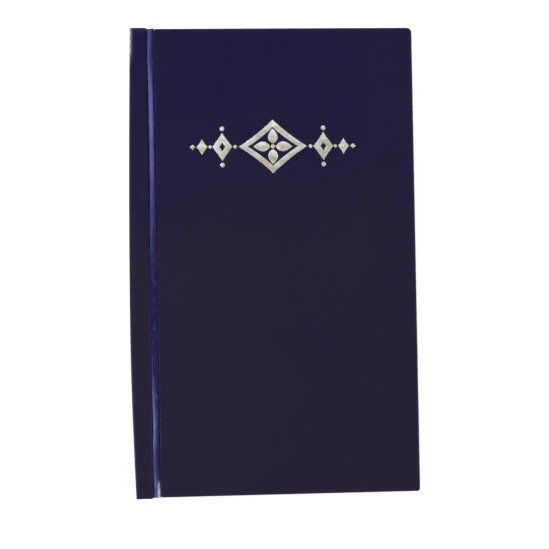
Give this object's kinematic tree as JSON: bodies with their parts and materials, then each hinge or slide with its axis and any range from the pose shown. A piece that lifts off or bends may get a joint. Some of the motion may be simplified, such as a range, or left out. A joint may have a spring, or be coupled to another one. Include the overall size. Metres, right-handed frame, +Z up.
{
  "type": "pocket notebook",
  "caption": "Slim case-bound pocket notebook: dark cloth-covered boards, flat spine strip, pressed hinge groove, foil lozenge ornament, sewn ruled leaves.",
  "frame": {"origin": "centre of the closed notebook's footprint, on the outer face of the back cover", "axes": "+X from the spine to the fore edge, +Y from the tail to the head, +Z up through the front cover"},
  "size_m": [0.097, 0.16, 0.0127],
  "materials": {
    "covering": "fine-grained dark navy leathercloth, satin",
    "foil": "pale champagne hot-stamped foil",
    "board": "grey pressed board",
    "endpaper": "smooth heavy off-white paper",
    "paper": "matt off-white writing paper",
    "mull": "open-weave starched gauze",
    "kraft": "brown kraft paper",
    "thread": "waxed white thread",
    "band": "striped navy and white woven band"
  },
  "bodies": {
    "block": {"spine_covering": "covering", "spine_board": "board", "front_shoulder_strip": "board", "back_shoulder_strip": "board", "spine_kraft_liner": "kraft", "spine_mull": "mull", "front_endpaper_guard": "endpaper", "back_endpaper_guard": "endpaper", "head_band": "band", "tail_band": "band", "signature_1": "paper", "signature_2": "paper", "signature_3": "paper", "signature_4": "paper", "signature_5": "paper", "signature_6": "paper", "signature_7": "paper", "sewing_thread_1": "thread", "sewing_thread_2": "thread", "sewing_thread_3": "thread", "sewing_thread_4": "thread", "sewing_thread_5": "thread"},
    "front_cover": {"front_covering": "covering", "front_board": "board", "foil_ornament": "foil", "front_pastedown": "endpaper", "front_mull_flange": "mull"},
    "back_cover": {"back_covering": "covering", "back_board": "board", "back_pastedown": "endpaper", "back_mull_flange": "mull"},
    "front_flyleaf": {"front_flyleaf": "endpaper"},
    "back_flyleaf": {"back_flyleaf": "endpaper"},
    "leaf_1": {"leaf_1": "paper"},
    "leaf_2": {"leaf_2": "paper"},
    "leaf_3": {"leaf_3": "paper"},
    "leaf_4": {"leaf_4": "paper"},
    "leaf_5": {"leaf_5": "paper"},
    "leaf_6": {"leaf_6": "paper"}
  },
  "joints": [
    {"name": "front_cover_hinge", "type": "hinge", "parent": "block", "child": "front_cover", "pos_m": [-0.0413, 0, 0.01285], "axis": [0, -1, 0], "range_deg": [0, 180]},
    {"name": "back_cover_hinge", "type": "hinge", "parent": "block", "child": "back_cover", "pos_m": [-0.0413, 0, -0.00015], "axis": [0, 1, 0], "range_deg": [0, 180]},
    {"name": "front_flyleaf_turn", "type": "hinge", "parent": "block", "child": "front_flyleaf", "pos_m": [-0.0413, 0, 0.01285], "axis": [0, -1, 0], "range_deg": [0, 172.8]},
    {"name": "leaf_1_turn", "type": "hinge", "parent": "block", "child": "leaf_1", "pos_m": [-0.0413, 0, 0.01285], "axis": [0, -1, 0], "range_deg": [0, 162]},
    {"name": "leaf_2_turn", "type": "hinge", "parent": "block", "child": "leaf_2", "pos_m": [-0.0413, 0, 0.01285], "axis": [0, -1, 0], "range_deg": [0, 144]},
    {"name": "leaf_3_turn", "type": "hinge", "parent": "block", "child": "leaf_3", "pos_m": [-0.0413, 0, 0.01285], "axis": [0, -1, 0], "range_deg": [0, 118.8]},
    {"name": "leaf_4_turn", "type": "hinge", "parent": "block", "child": "leaf_4", "pos_m": [-0.0413, 0, 0.01285], "axis": [0, -1, 0], "range_deg": [0, 90]},
    {"name": "leaf_5_turn", "type": "hinge", "parent": "block", "child": "leaf_5", "pos_m": [-0.0413, 0, 0.01285], "axis": [0, -1, 0], "range_deg": [0, 61.2]},
    {"name": "leaf_6_turn", "type": "hinge", "parent": "block", "child": "leaf_6", "pos_m": [-0.0413, 0, 0.01285], "axis": [0, -1, 0], "range_deg": [0, 32.4]},
    {"name": "back_flyleaf_turn", "type": "hinge", "parent": "block", "child": "back_flyleaf", "pos_m": [-0.0413, 0, -0.00015], "axis": [0, 1, 0], "range_deg": [0, 162]}
  ],
  "couplings": [
    {"joint": "front_flyleaf_turn", "follows": "front_cover_hinge", "ratio": 0.96},
    {"joint": "leaf_1_turn", "follows": "front_cover_hinge", "ratio": 0.9},
    {"joint": "leaf_2_turn", "follows": "front_cover_hinge", "ratio": 0.8},
    {"joint": "leaf_3_turn", "follows": "front_cover_hinge", "ratio": 0.66},
    {"joint": "leaf_4_turn", "follows": "front_cover_hinge", "ratio": 0.5},
    {"joint": "leaf_5_turn", "follows": "front_cover_hinge", "ratio": 0.34},
    {"joint": "leaf_6_turn", "follows": "front_cover_hinge", "ratio": 0.18},
    {"joint": "back_flyleaf_turn", "follows": "back_cover_hinge", "ratio": 0.9}
  ]
}
